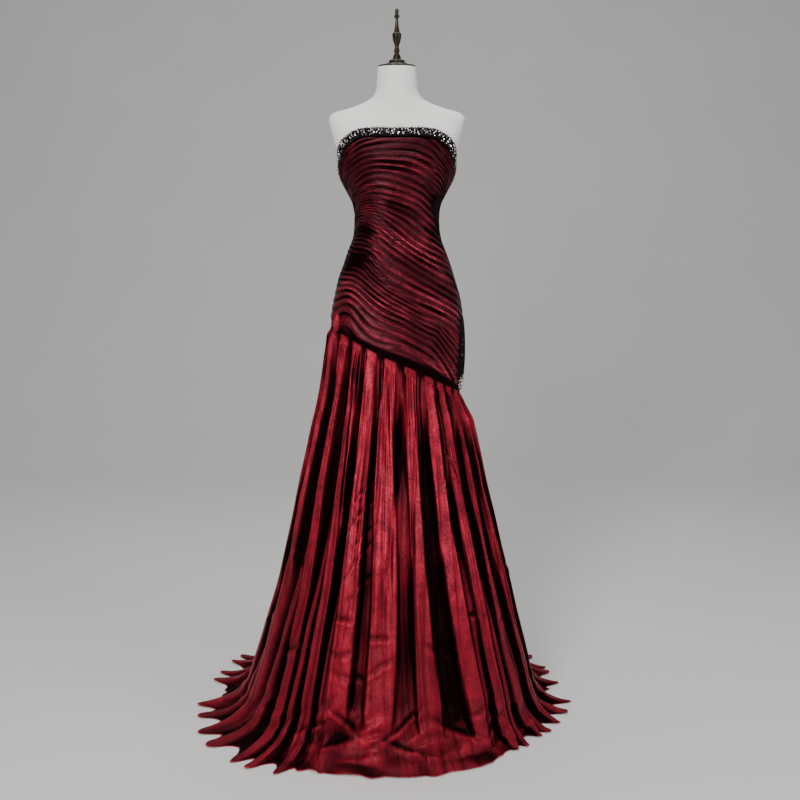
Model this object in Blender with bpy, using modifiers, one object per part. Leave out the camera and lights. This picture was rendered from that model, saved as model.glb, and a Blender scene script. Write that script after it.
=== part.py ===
"""Strapless ruched evening dress with a diagonal hip seam, worn by a limbless dress form."""
import math

import bmesh
import bpy
import numpy as np

# Cloth and fitting sizes, in metres
CLEAR = 0.0027
WALL = 0.0018
SKIRT_WALL = 0.0020
SEAM_GAP = 0.0004
HIP_GAP = 0.0008
LAP_GAP = 0.0008

# Figure of the form: height, half width, depth in front, depth behind, squareness of the section
FIGURE = (
    (0.840, 0.158, 0.098, 0.112, 2.2),
    (0.900, 0.167, 0.106, 0.124, 2.2),
    (0.960, 0.171, 0.110, 0.129, 2.2),
    (1.020, 0.171, 0.110, 0.128, 2.2),
    (1.070, 0.168, 0.108, 0.122, 2.2),
    (1.120, 0.160, 0.105, 0.111, 2.2),
    (1.170, 0.146, 0.100, 0.097, 2.2),
    (1.230, 0.124, 0.093, 0.083, 2.2),
    (1.280, 0.107, 0.090, 0.078, 2.2),
    (1.320, 0.103, 0.091, 0.078, 2.2),
    (1.360, 0.107, 0.099, 0.083, 2.2),
    (1.400, 0.125, 0.113, 0.092, 2.2),
    (1.440, 0.141, 0.122, 0.099, 2.3),
    (1.480, 0.147, 0.120, 0.102, 2.4),
    (1.520, 0.161, 0.104, 0.098, 2.4),
    (1.560, 0.171, 0.078, 0.086, 2.4),
    (1.582, 0.173, 0.062, 0.074, 2.2),
    (1.594, 0.160, 0.056, 0.069, 2.0),
    (1.603, 0.128, 0.054, 0.066, 1.9),
    (1.614, 0.095, 0.053, 0.063, 1.9),
    (1.628, 0.068, 0.052, 0.060, 2.0),
    (1.645, 0.055, 0.050, 0.056, 2.0),
    (1.675, 0.051, 0.048, 0.051, 2.0),
    (1.707, 0.0486, 0.0486, 0.0486, 2.0),
)
FORM_COLUMNS = 36
BODY_TOP = 1.560
BODY_ROWS = 22

# Top edge of the dress by bearing from the centre front, the same on both sides
NECKLINE = (
    (0, 1.548),
    (20, 1.548),
    (32, 1.544),
    (43, 1.533),
    (55, 1.519),
    (63, 1.506),
    (72, 1.490),
    (80, 1.472),
    (90, 1.445),
    (100, 1.422),
    (115, 1.406),
    (140, 1.396),
    (180, 1.390),
)
BAND_WIDTH = 0.019
BAND_WALL = 0.0020
BAND_SWELL = 0.0012
EDGE_TUCK = 0.001
UNDER_BAND = (0.0, 0.35, 0.70)

# Hip seam, high at the viewer's left and low at the right
SEAM_MIDDLE = 0.9625
SEAM_TILT = 0.0875

# Ruching of the bodice
RUCHES = 26
RUCHE_RISE = 0.0072
RUCHE_WANDER = 0.006

# Skirt outline on its ridges: height, half width left, half width right, front, back
SKIRT = (
    (0.000, 0.430, 0.387, 0.425, 0.440),
    (0.120, 0.397, 0.368, 0.388, 0.402),
    (0.225, 0.364, 0.341, 0.352, 0.364),
    (0.361, 0.323, 0.309, 0.305, 0.316),
    (0.506, 0.290, 0.274, 0.257, 0.267),
    (0.672, 0.255, 0.232, 0.203, 0.213),
    (0.785, 0.228, 0.205, 0.170, 0.184),
    (0.875, 0.207, 0.184, 0.147, 0.164),
    (0.945, 0.194, 0.184, 0.133, 0.152),
    (1.000, 0.186, 0.184, 0.127, 0.145),
    (1.060, 0.182, 0.182, 0.123, 0.138),
)
SKIRT_SQUARE = 2.15
HUG = 0.050

# Depth of the skirt's folds by drop below the seam
FOLD_DEPTH = (
    (0.000, 0.0035),
    (0.020, 0.0070),
    (0.060, 0.0110),
    (0.150, 0.0175),
    (0.260, 0.0235),
    (0.420, 0.0300),
    (0.600, 0.0360),
    (0.800, 0.0390),
    (1.100, 0.0300),
)

# Folds of the skirt: bearing at the seam, bearing at the hem, fullness
FOLDS = (
    (-172, -171, 1.00),
    (-157, -156, 0.85),
    (-143, -142, 1.05),
    (-128, -127, 0.90),
    (-113, -113, 1.00),
    (-98, -99, 0.95),
    (-84, -85, 1.00),
    (-68, -68, 1.00),
    (-49, -47, 0.90),
    (-34, -34, 0.85),
    (-20, -21, 1.10),
    (-4, -4, 1.00),
    (9, 10, 0.90),
    (28, 32, 1.05),
    (39, 45, 0.95),
    (51, 58, 0.90),
    (66, 71, 1.00),
    (83, 86, 1.00),
    (97, 99, 0.90),
    (112, 113, 1.05),
    (127, 128, 0.90),
    (142, 142, 1.00),
    (157, 156, 0.85),
    (172, 171, 1.00),
)
STEPS_IN_FOLD = (0.1, 0.3, 0.5, 0.7, 0.9)

# Reach of the hem over the floor by bearing
HEM = (
    (-180, 0.640),
    (-150, 0.615),
    (-115, 0.560),
    (-101, 0.552),
    (-90, 0.556),
    (-81, 0.562),
    (-71, 0.570),
    (-63, 0.582),
    (-54, 0.587),
    (-42, 0.577),
    (-32, 0.555),
    (-24, 0.505),
    (-11, 0.482),
    (0, 0.480),
    (10, 0.484),
    (24, 0.470),
    (36, 0.465),
    (46, 0.455),
    (58, 0.462),
    (72, 0.474),
    (84, 0.490),
    (97, 0.484),
    (109, 0.485),
    (130, 0.530),
    (155, 0.605),
    (180, 0.640),
)
# Share by which the cloth on the floor falls short between the folds
HEM_SCALLOP = 0.35
FLOOR_BEND = 0.028
FLOOR_LIFT = 0.016
HANG_ROWS = (0.0, 0.02, 0.06, 0.15, 0.30, 0.48, 0.66, 0.82, 0.93)
FLOOR_ROWS = (0.0, 0.35, 0.70, 1.0)

# Knot at the high end of the hip seam: bearing, height, half width, half height, rise, seat
KNOT = (-62, 1.059, 0.015, 0.023, 0.008, 0.0006)
# Ornament at the low end of the hip seam
ORNAMENT = (75, 0.978, 0.036, 0.100, 0.002, 0.0007)
ORNAMENT_TAPER = 0.25
PAD_OVER_SKIRT = 0.006
# Share of the ruching left under the knot and the ornament, and how far past them it grows back
PAD_CALM = 0.20
CALM_START = 0.008
CALM_FADE = 0.012

# Stand
BASE_RADIUS = 0.150
BASE_HEIGHT = 0.012
POLE_RADIUS = 0.0125
FLANGE_RADIUS = 0.045
FLANGE_HEIGHT = 0.008
SEAT = 0.0003
FORM_BOTTOM = FIGURE[0][0]
NECK_TOP = FIGURE[-1][0]

# Turned cap on the neck: radius, height above the neck
CAP = (
    (0.0105, 0.0178),
    (0.0185, 0.0170),
    (0.0206, 0.0148),
    (0.0206, 0.0122),
    (0.0186, 0.0104),
    (0.0262, 0.0092),
    (0.0278, 0.0072),
    (0.0292, 0.0058),
    (0.0450, 0.0044),
    (0.0486, 0.0022),
    (0.0478, 0.0),
)
# Turned finial: radius, height above the cap's seat
FINIAL = (
    (0.0020, 0.1242),
    (0.0046, 0.1215),
    (0.0048, 0.1160),
    (0.0036, 0.1115),
    (0.0074, 0.1060),
    (0.0072, 0.1040),
    (0.0033, 0.1010),
    (0.0040, 0.0900),
    (0.0052, 0.0790),
    (0.0078, 0.0660),
    (0.0116, 0.0638),
    (0.0119, 0.0612),
    (0.0112, 0.0550),
    (0.0092, 0.0440),
    (0.0055, 0.0340),
    (0.0050, 0.0290),
    (0.0076, 0.0225),
    (0.0070, 0.0190),
    (0.0049, 0.0155),
    (0.0088, 0.0100),
    (0.0104, 0.0040),
    (0.0108, 0.0),
)
FINIAL_FOOT = 0.0178


def clear_scene():
    for item in list(bpy.data.objects):
        bpy.data.objects.remove(item, do_unlink=True)


def smooth(value, places, heights):
    """Smooth curve through the rows of a table, flat past its ends."""
    places = np.asarray(places, float)
    heights = np.asarray(heights, float)
    slope = np.gradient(heights, places)
    value = np.clip(value, places[0], places[-1])
    i = np.clip(np.searchsorted(places, value) - 1, 0, len(places) - 2)
    step = places[i + 1] - places[i]
    t = (value - places[i]) / step
    start = (1 + 2 * t) * (1 - t) ** 2 * heights[i]
    start_slope = t * (1 - t) ** 2 * step * slope[i]
    end = t * t * (3 - 2 * t) * heights[i + 1]
    end_slope = t * t * (t - 1) * step * slope[i + 1]
    return start + start_slope + end + end_slope


def column(table, n):
    return [row[n] for row in table]


def ease(t):
    t = np.clip(t, 0, 1)
    return t * t * (3 - 2 * t)


def wrap(bearing):
    return (bearing + 180) % 360 - 180


def rounded(bearing, half_width, depth, square):
    """Point of a squarish ellipse at a bearing from the centre front."""
    angle = np.radians(bearing)
    across = np.sin(angle)
    along = np.cos(angle)
    x = half_width * np.sign(across) * np.abs(across) ** (2 / square)
    y = -depth * np.sign(along) * np.abs(along) ** (2 / square)
    return x, y


def figure(bearing, height):
    """Point on the form's surface."""
    bearing, height = np.broadcast_arrays(np.asarray(bearing, float), np.asarray(height, float))
    places = column(FIGURE, 0)
    half = smooth(height, places, column(FIGURE, 1))
    front = smooth(height, places, column(FIGURE, 2))
    back = smooth(height, places, column(FIGURE, 3))
    square = smooth(height, places, column(FIGURE, 4))
    depth = np.where(np.cos(np.radians(bearing)) > 0, front, back)
    x, y = rounded(bearing, half, depth, square)
    return np.stack([x, y, height], axis=-1)


def off_figure(bearing, height, out):
    """Point moved straight out from the form's surface."""
    bearing, height = np.broadcast_arrays(np.asarray(bearing, float), np.asarray(height, float))
    point = figure(bearing, height)
    along = figure(bearing + 1.5, height) - figure(bearing - 1.5, height)
    up = figure(bearing, height + 0.004) - figure(bearing, height - 0.004)
    normal = np.cross(along, up)
    normal /= np.linalg.norm(normal, axis=-1, keepdims=True)
    return point + normal * np.broadcast_to(out, bearing.shape)[..., None]


def neckline(bearing):
    return smooth(np.abs(wrap(bearing)), column(NECKLINE, 0), column(NECKLINE, 1))


def band_drop(bearing):
    """Upright measure of the band, longer where the edge runs steeply."""
    here = neckline(bearing)
    rise = neckline(bearing + 4) - neckline(bearing - 4)
    run = figure(bearing + 4, here) - figure(bearing - 4, here)
    return BAND_WIDTH * np.sqrt(1 + (rise / np.linalg.norm(run[..., :2], axis=-1)) ** 2)


def hip_seam(bearing):
    return SEAM_MIDDLE - SEAM_TILT * np.sin(np.radians(bearing))


def ruche_height(bearing, place):
    """Height of a ruching line, place counting the folds down from the band."""
    top = neckline(bearing) - band_drop(bearing) - 0.003
    bottom = hip_seam(bearing) + HIP_GAP / 2
    share = place / RUCHES
    wander = RUCHE_WANDER * np.sin(np.radians(2.3 * bearing) + 0.9 * place)
    wander = wander + 0.5 * RUCHE_WANDER * np.sin(np.radians(5.1 * bearing) - 0.53 * place)
    return top + (bottom - top) * share + wander * np.sin(np.pi * share) ** 0.7


def calm(bearing, height):
    """Share of the ruching left at a place: little under the knot and the ornament, all of it elsewhere."""
    left = 1
    for middle, middle_height, half_width, half_height, _, _ in (KNOT, ORNAMENT):
        reach = np.linalg.norm(figure(middle, middle_height)[:2])
        across = np.radians(bearing - middle) * reach / half_width
        far = np.hypot(across, (height - middle_height) / half_height)
        beyond = (far - 1) * half_width
        left = left * (PAD_CALM + (1 - PAD_CALM) * ease((beyond - CALM_START) / CALM_FADE))
    return left


def ruche_rise(bearing, place):
    """Rise of the ruching, pinched at the side seams and at the centre back."""
    fold = np.floor(place + 1e-6)
    phase = place - fold
    strength = 0.66 + 0.34 * np.sin(np.radians(1.9 * bearing) + 2.4 * fold + 0.7 * np.sin(1.3 * fold))
    side = np.abs(np.cos(np.radians(bearing)))
    pinch = 0.30 + 0.70 * side**0.6
    middle_back = ease((180 - np.abs(wrap(bearing))) / 14)
    pinch = pinch * (0.35 + 0.65 * middle_back)
    pinch = pinch * calm(bearing, ruche_height(bearing, place))
    ends = np.minimum(ease(place / 0.6), ease((RUCHES - place) / 0.6))
    return RUCHE_RISE * strength * pinch * ends * np.sin(np.pi * phase) ** 2


def soft_step(h):
    return FLOOR_BEND * np.logaddexp(0, h / FLOOR_BEND)


def skirt_plan(bearing, height):
    places = column(SKIRT, 0)
    left = smooth(height, places, column(SKIRT, 1))
    right = smooth(height, places, column(SKIRT, 2))
    front = smooth(height, places, column(SKIRT, 3))
    back = smooth(height, places, column(SKIRT, 4))
    angle = np.radians(bearing)
    half = np.where(np.sin(angle) < 0, left, right)
    depth = np.where(np.cos(angle) > 0, front, back)
    return rounded(bearing, half, depth, SKIRT_SQUARE)


def skirt_point(bearing, top, bottom, hang, fold):
    """Point of the skirt's outer side; hang falls from top at the seam to bottom at the hem."""
    sag = soft_step(hang)
    share = (top - hang) / (top - bottom)
    sag = sag - soft_step(bottom) * share
    drop = np.maximum(top - hang, 0)
    x, y = skirt_plan(bearing, sag)
    reach = np.hypot(x, y)
    depth = smooth(drop, column(FOLD_DEPTH, 0), column(FOLD_DEPTH, 1))
    run = soft_step(-hang)
    scale = (reach - depth * (1 - fold) + run) / reach
    lift = FLOOR_LIFT * fold * (1 - ease(hang / 0.12))
    out = np.stack([x * scale, y * scale, sag + lift + SKIRT_WALL], axis=-1)
    raised = 0.9 * depth * fold * ease(drop / 0.01)
    close = off_figure(bearing, np.minimum(sag, top), CLEAR + WALL + raised)
    close[..., 2] = top - drop
    hug = ease(drop / HUG)[..., None]
    return close * (1 - hug) + out * hug


def fold_places():
    """Bearing at the seam, bearing at the hem and fold height of every column round the skirt."""
    rows = []
    for n, (seam_bearing, hem_bearing, fullness) in enumerate(FOLDS):
        after = FOLDS[(n + 1) % len(FOLDS)]
        turn = 360 if n == len(FOLDS) - 1 else 0
        for step in STEPS_IN_FOLD:
            at_seam = seam_bearing + (after[0] + turn - seam_bearing) * step
            at_hem = hem_bearing + (after[1] + turn - hem_bearing) * step
            full = fullness + (after[2] - fullness) * step
            rows.append((at_seam, at_hem, full * (0.5 + 0.5 * math.cos(2 * math.pi * step))))
    return rows


def material(name, colour, roughness, metallic):
    made = bpy.data.materials.new(name)
    made.use_nodes = True
    shader = made.node_tree.nodes["Principled BSDF"]
    shader.inputs["Base Color"].default_value = (*colour, 1)
    shader.inputs["Roughness"].default_value = roughness
    shader.inputs["Metallic"].default_value = metallic
    return made


def mesh_object(name, points, faces, look):
    mesh = bpy.data.meshes.new(name)
    mesh.from_pydata([tuple(float(v) for v in p) for p in points], [], faces)
    made = bpy.data.objects.new(name, mesh)
    parts.objects.link(made)
    mesh.materials.append(material(name, *look))
    shell = bmesh.new()
    shell.from_mesh(mesh)
    bmesh.ops.recalc_face_normals(shell, faces=shell.faces)
    shell.to_mesh(mesh)
    shell.free()
    mesh.shade_smooth()
    return made


def grid_faces(rows, columns, start=0):
    faces = []
    for j in range(rows - 1):
        for i in range(columns - 1):
            a = start + j * columns + i
            faces.append((a, a + 1, a + columns + 1, a + columns))
    return faces


def edge_loop(rows, columns, start):
    """The four sides of a grid, each running on from the last."""
    bottom = [start + i for i in range(columns)]
    right = [start + j * columns + columns - 1 for j in range(rows)]
    top = [start + (rows - 1) * columns + i for i in reversed(range(columns))]
    left = [start + j * columns for j in reversed(range(rows))]
    return bottom, right, top, left


def stitch(first, second):
    faces = []
    i = 0
    j = 0
    while i < len(first) - 1 or j < len(second) - 1:
        next_first = (i + 1) / (len(first) - 1)
        next_second = (j + 1) / (len(second) - 1)
        if j == len(second) - 1 or (i < len(first) - 1 and next_first <= next_second):
            faces.append((first[i], second[j], first[i + 1]))
            i += 1
        else:
            faces.append((first[i], second[j], second[j + 1]))
            j += 1
    return faces


def cloth_wall(name, outer, inner, look):
    """A wall between a raised outer side and a plain inner side that share their edges' course."""
    rows, columns = outer.shape[:2]
    inner_rows, inner_columns = inner.shape[:2]
    start = rows * columns
    faces = grid_faces(rows, columns)
    faces += [tuple(reversed(f)) for f in grid_faces(inner_rows, inner_columns, start)]
    outside = edge_loop(rows, columns, 0)
    inside = edge_loop(inner_rows, inner_columns, start)
    for first, second in zip(outside, inside):
        faces += stitch(first, second)
    points = np.concatenate([outer.reshape(-1, 3), inner.reshape(-1, 3)])
    return mesh_object(name, points, faces, look)


def cut_back(bearings, height):
    """Bearings with the first and last drawn in by half the gap at a seam."""
    reach = np.linalg.norm(figure(bearings, height)[..., :2], axis=-1)
    bearings = bearings.copy()
    turn = np.degrees(SEAM_GAP / 2 / reach)
    bearings[..., 0] += turn[..., 0]
    bearings[..., -1] -= turn[..., -1]
    return bearings


def bodice_panel(name, start, end, across, folds_apart, inner_step):
    bearings = np.linspace(start, end, across + 1)
    places = [0.0]
    for fold in range(RUCHES):
        places += [fold + part for part in folds_apart[1:]]
        places.append(fold + 1.0)
    places = np.array(places)
    rows = []
    edge = cut_back(bearings, neckline(bearings))
    for share in UNDER_BAND:
        height = neckline(edge) - EDGE_TUCK - band_drop(edge) * share
        rows.append(off_figure(edge, height, CLEAR + WALL))
    for place in places:
        edge = cut_back(bearings, ruche_height(bearings, place))
        out = CLEAR + WALL + ruche_rise(edge, place)
        rows.append(off_figure(edge, ruche_height(edge, place), out))
    outer = np.array(rows)
    inner_bearings = np.linspace(start, end, int(round((end - start) / inner_step)) + 1)
    inner_rows = []
    edge = cut_back(inner_bearings, neckline(inner_bearings))
    for share in UNDER_BAND:
        height = neckline(edge) - EDGE_TUCK - band_drop(edge) * share
        inner_rows.append(off_figure(edge, height, CLEAR))
    for place in np.linspace(0, RUCHES, 15):
        edge = cut_back(inner_bearings, ruche_height(inner_bearings, place))
        inner_rows.append(off_figure(edge, ruche_height(edge, place), CLEAR))
    return cloth_wall(name, outer, np.array(inner_rows), BODICE_LOOK)


def neckline_band():
    bearings = cut_back(np.linspace(-180, 180, 61), 1.39)
    top = neckline(bearings)
    drop = band_drop(bearings)
    base = CLEAR + WALL + LAP_GAP
    outer = []
    for share, out in ((0.0, 0.6), (0.25, 1.0), (0.75, 1.0), (1.0, 0.6)):
        swell = BAND_SWELL * math.sin(math.pi * share)
        outer.append(off_figure(bearings, top - drop * share, base + BAND_WALL * out + swell))
    inner = []
    for share in (0.0, 0.25, 0.5, 0.75, 1.0):
        inner.append(off_figure(bearings, top - drop * share, base))
    return cloth_wall("neckline_band", np.array(outer), np.array(inner), BAND_LOOK)


def skirt_panel(name, first, last):
    """Panel between two fold valleys: the grid of its outer side, thickened inwards."""
    columns = PLACES[first : last + 1]
    at_seam = np.array([row[0] for row in columns])
    at_hem = np.array([row[1] for row in columns])
    fold = np.clip(np.array([row[2] for row in columns]), 0, None)
    rows = []
    for part in HANG_ROWS:
        rows.append((part, 0.0))
    for part in FLOOR_ROWS:
        rows.append((1.0, part))
    grid = []
    for hung, laid in rows:
        bearing = at_seam + (at_hem - at_seam) * hung
        top = hip_seam(bearing) - HIP_GAP / 2
        x, y = skirt_plan(bearing, 0.0 * bearing)
        reach = np.hypot(x, y)
        hem = smooth(wrap(bearing), column(HEM, 0), column(HEM, 1))
        bottom = -(hem - reach) * (1 - HEM_SCALLOP * (1 - fold))
        hang = top * (1 - hung) + bottom * laid
        turn = np.degrees(SEAM_GAP / 2 / 0.25)
        shift = np.zeros(len(bearing))
        shift[0] = turn
        shift[-1] = -turn
        grid.append(skirt_point(bearing + shift, top, bottom, hang, fold))
    grid = np.array(grid)
    made = mesh_object(name, grid.reshape(-1, 3), grid_faces(*grid.shape[:2]), SKIRT_LOOK)
    face_outwards(made)
    thicken = made.modifiers.new("cloth thickness", "SOLIDIFY")
    thicken.thickness = SKIRT_WALL
    thicken.offset = -1
    return made


def face_outwards(made):
    """Turns the faces of an open sheet away from the form."""
    mesh = made.data
    towards = sum(p.normal.x * p.center.x + p.normal.y * p.center.y for p in mesh.polygons)
    if towards < 0:
        mesh.flip_normals()


def pad(name, spec, steps, taper, look):
    """Raised piece lying on the panels, round or pointed, made from points of the figure moved out."""
    bearing, height, half_width, half_height, rise, seat = spec
    line = np.linspace(-1, 1, steps)
    across, up = np.meshgrid(line, line)
    disc_across = across * np.sqrt(1 - up**2 / 2)
    disc_up = up * np.sqrt(1 - across**2 / 2)
    reach = np.linalg.norm(figure(bearing, height)[:2])
    narrow = 1 - taper * (0.5 + 0.5 * disc_up)
    bearings = bearing + np.degrees(disc_across * narrow * half_width / reach)
    heights = height + disc_up * half_height
    base = CLEAR + WALL + LAP_GAP + seat
    base = base + PAD_OVER_SKIRT * ease((hip_seam(bearings) - heights) / 0.012)
    far = np.hypot(disc_across, disc_up)
    out = base + 0.0012 + rise * np.sqrt(np.clip(1 - far**2, 0, 1))
    outer = off_figure(bearings, heights, out)
    inner = off_figure(bearings[::2, ::2], heights[::2, ::2], base[::2, ::2])
    return cloth_wall(name, outer, inner, look)


def form_torso():
    body = list(np.linspace(FORM_BOTTOM, BODY_TOP, BODY_ROWS))
    heights = body + [height for height in column(FIGURE, 0) if height > BODY_TOP]
    bearings = np.arange(FORM_COLUMNS) * 360 / FORM_COLUMNS - 180
    points = np.concatenate([figure(bearings, height) for height in heights])
    faces = []
    for j in range(len(heights) - 1):
        for i in range(FORM_COLUMNS):
            a = j * FORM_COLUMNS + i
            b = j * FORM_COLUMNS + (i + 1) % FORM_COLUMNS
            faces.append((a, b, b + FORM_COLUMNS, a + FORM_COLUMNS))
    faces.append(tuple(reversed(range(FORM_COLUMNS))))
    faces.append(tuple(range((len(heights) - 1) * FORM_COLUMNS, len(heights) * FORM_COLUMNS)))
    return mesh_object("form_torso", points, faces, FORM_LOOK)


def turned(name, profile, lift, segments, look):
    """Solid turned about the upright axis from a profile that runs down its outer side."""
    mesh = bpy.data.meshes.new(name)
    points = [(0, 0, profile[0][1] + lift)]
    points += [(radius, 0, height + lift) for radius, height in profile]
    points.append((0, 0, profile[-1][1] + lift))
    mesh.from_pydata(points, [(i, i + 1) for i in range(len(points) - 1)], [])
    made = bpy.data.objects.new(name, mesh)
    parts.objects.link(made)
    mesh.materials.append(material(name, *look))
    screw = made.modifiers.new("turn", "SCREW")
    screw.axis = "Z"
    screw.angle = math.tau
    screw.steps = segments
    screw.render_steps = segments
    screw.use_merge_vertices = True
    screw.merge_threshold = 0.00001
    screw.use_smooth_shade = True
    return made


clear_scene()
parts = bpy.data.collections.new("evening dress on dress form")
bpy.context.scene.collection.children.link(parts)

BODICE_LOOK = ((0.20, 0.008, 0.025), 0.38, 0.0)
SKIRT_LOOK = ((0.26, 0.008, 0.022), 0.36, 0.0)
BAND_LOOK = ((0.035, 0.025, 0.028), 0.30, 0.2)
FORM_LOOK = ((0.80, 0.79, 0.76), 0.75, 0.0)
WOOD_LOOK = ((0.020, 0.013, 0.010), 0.22, 0.0)
STAND_LOOK = ((0.05, 0.05, 0.05), 0.40, 0.8)
ORNAMENT_LOOK = ((0.10, 0.08, 0.09), 0.25, 0.4)

PLACES = fold_places()
STEPS = len(STEPS_IN_FOLD)
LEFT_SEAM = 5 * STEPS + 2
RIGHT_SEAM = 17 * STEPS + 2
BACK_SEAM = len(PLACES) - STEPS + 2

form_torso()
turned("neck_cap", CAP, NECK_TOP + SEAT, 22, WOOD_LOOK)
turned("finial", FINIAL, NECK_TOP + SEAT * 2 + FINIAL_FOOT, 14, WOOD_LOOK)
pole = (
    (FLANGE_RADIUS, FORM_BOTTOM - SEAT),
    (FLANGE_RADIUS, FORM_BOTTOM - SEAT - FLANGE_HEIGHT),
    (POLE_RADIUS, FORM_BOTTOM - SEAT - FLANGE_HEIGHT - 0.002),
    (POLE_RADIUS, BASE_HEIGHT + SEAT),
)
turned("stand_pole", pole, 0, 20, STAND_LOOK)
base = (
    (BASE_RADIUS - 0.004, BASE_HEIGHT),
    (BASE_RADIUS, BASE_HEIGHT - 0.004),
    (BASE_RADIUS, 0.0),
)
turned("stand_base", base, 0, 40, STAND_LOOK)

bodice_panel("bodice_front", -90, 90, 20, (0.0, 0.5), 10)
bodice_panel("bodice_back_left", -180, -90, 10, (0.0, 0.5), 10)
bodice_panel("bodice_back_right", 90, 180, 10, (0.0, 0.5), 10)
neckline_band()

skirt_panel("skirt_front", LEFT_SEAM, RIGHT_SEAM)
skirt_panel("skirt_back_right", RIGHT_SEAM, BACK_SEAM)
PLACES = [(a - 360, b - 360, c) for a, b, c in PLACES[BACK_SEAM:]] + PLACES[: LEFT_SEAM + 1]
skirt_panel("skirt_back_left", 0, len(PLACES) - 1)

pad("gather_knot", KNOT, 9, 0.0, SKIRT_LOOK)
pad("hip_ornament", ORNAMENT, 11, ORNAMENT_TAPER, ORNAMENT_LOOK)
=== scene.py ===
"""Looks of the ruched evening dress on its dress form."""
import math

import bmesh
import bpy
import numpy as np
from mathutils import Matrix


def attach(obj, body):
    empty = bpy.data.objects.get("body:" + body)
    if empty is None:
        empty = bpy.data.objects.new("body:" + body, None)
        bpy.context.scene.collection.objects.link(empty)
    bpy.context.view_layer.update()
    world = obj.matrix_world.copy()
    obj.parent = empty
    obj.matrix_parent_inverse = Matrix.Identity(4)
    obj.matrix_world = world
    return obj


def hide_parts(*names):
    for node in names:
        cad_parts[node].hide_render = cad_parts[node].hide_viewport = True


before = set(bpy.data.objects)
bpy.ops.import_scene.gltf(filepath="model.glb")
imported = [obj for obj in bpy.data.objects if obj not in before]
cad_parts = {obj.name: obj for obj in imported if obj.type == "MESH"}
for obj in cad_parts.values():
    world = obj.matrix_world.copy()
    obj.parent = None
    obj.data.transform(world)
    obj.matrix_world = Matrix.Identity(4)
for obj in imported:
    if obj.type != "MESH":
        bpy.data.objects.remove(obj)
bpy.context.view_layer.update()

# Fitting sizes, as in the solids, in metres
CLEAR = 0.0027
WALL = 0.0018
SKIRT_WALL = 0.0020
LAP_GAP = 0.0008
ON_CLOTH = CLEAR + WALL + LAP_GAP
SEAT = 0.0003

# Figure of the form: height, half width, depth in front, depth behind, squareness
FIGURE = (
    (0.840, 0.158, 0.098, 0.112, 2.2), (0.900, 0.167, 0.106, 0.124, 2.2), (0.960, 0.171, 0.110, 0.129, 2.2),
    (1.020, 0.171, 0.110, 0.128, 2.2), (1.070, 0.168, 0.108, 0.122, 2.2), (1.120, 0.160, 0.105, 0.111, 2.2),
    (1.170, 0.146, 0.100, 0.097, 2.2), (1.230, 0.124, 0.093, 0.083, 2.2), (1.280, 0.107, 0.090, 0.078, 2.2),
    (1.320, 0.103, 0.091, 0.078, 2.2), (1.360, 0.107, 0.099, 0.083, 2.2), (1.400, 0.125, 0.113, 0.092, 2.2),
    (1.440, 0.141, 0.122, 0.099, 2.3), (1.480, 0.147, 0.120, 0.102, 2.4), (1.520, 0.161, 0.104, 0.098, 2.4),
    (1.560, 0.171, 0.078, 0.086, 2.4), (1.582, 0.173, 0.062, 0.074, 2.2), (1.594, 0.160, 0.056, 0.069, 2.0),
    (1.603, 0.128, 0.054, 0.066, 1.9), (1.614, 0.095, 0.053, 0.063, 1.9), (1.628, 0.068, 0.052, 0.060, 2.0),
    (1.645, 0.055, 0.050, 0.056, 2.0), (1.675, 0.051, 0.048, 0.051, 2.0),
    (1.707, 0.0486, 0.0486, 0.0486, 2.0),
)
FORM_BOTTOM = FIGURE[0][0]
NECK_TOP = FIGURE[-1][0]
# Heights between which the form's rows lie close, and how many columns they have
SHOULDER = 1.56
NECK_FOOT = 1.66
FORM_COLUMNS = 181
NECKLINE = (
    (0, 1.548), (20, 1.548), (32, 1.544), (43, 1.533), (55, 1.519), (63, 1.506), (72, 1.490),
    (80, 1.472), (90, 1.445), (100, 1.422), (115, 1.406), (140, 1.396), (180, 1.390),
)
BAND_WIDTH = 0.019
BAND_WALL = 0.0020
BAND_SWELL = 0.0012
EDGE_TUCK = 0.001
UNDER_BAND = 0.001
SEAM_MIDDLE = 0.9625
SEAM_TILT = 0.0875
HIP_GAP = 0.0008
RUCHE_RISE = 0.0076
# Length of the bodice's cloth against the length that it covers
DRAWN_UP = 1.5
# Runs of ruches: how many; wide wander, its pace round and down, its seed; fine wander, its paces; phase
RUCHE_RUNS = (
    (44, 0.85, 2.0, 8, 3, 0.30, 4.6, 20, 0.4),
    (52, 0.80, 2.4, 9, 5, 0.30, 5.2, 24, 1.9),
    (31, 0.70, 2.2, 8, 11, 0.26, 4.0, 18, 3.3),
)
FINE_RUCHES = 104

# Skirt outline on its ridges: height, half width left, half width right, front, back
SKIRT = (
    (0.000, 0.430, 0.387, 0.425, 0.440), (0.120, 0.397, 0.368, 0.388, 0.402),
    (0.225, 0.364, 0.341, 0.352, 0.364), (0.361, 0.323, 0.309, 0.305, 0.316),
    (0.506, 0.290, 0.274, 0.257, 0.267), (0.672, 0.255, 0.232, 0.203, 0.213),
    (0.785, 0.228, 0.205, 0.170, 0.184), (0.875, 0.207, 0.184, 0.147, 0.164),
    (0.945, 0.194, 0.184, 0.133, 0.152), (1.000, 0.186, 0.184, 0.127, 0.145),
    (1.060, 0.182, 0.182, 0.123, 0.138),
)
SKIRT_SQUARE = 2.15
# Side seams and centre back of the skirt, as places counted in folds
SIDE_LEFT = 5.5
SIDE_RIGHT = 17.5
BACK_LEFT = -0.5
BACK_RIGHT = 23.5
# Stretches of its front, in folds: middle, half width, sharpness
PLAIN = (11.5, 1.9, 4)
BROAD = (10.25, 0.50, 6)
JOINED = (11.45, 0.42, 6)
POOLED = (11.7, 2.3, 8)
CREASED = (10.5, 0.9, 4)
# Drop below the seam over which the skirt leaves the figure
HUG = 0.085
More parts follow.
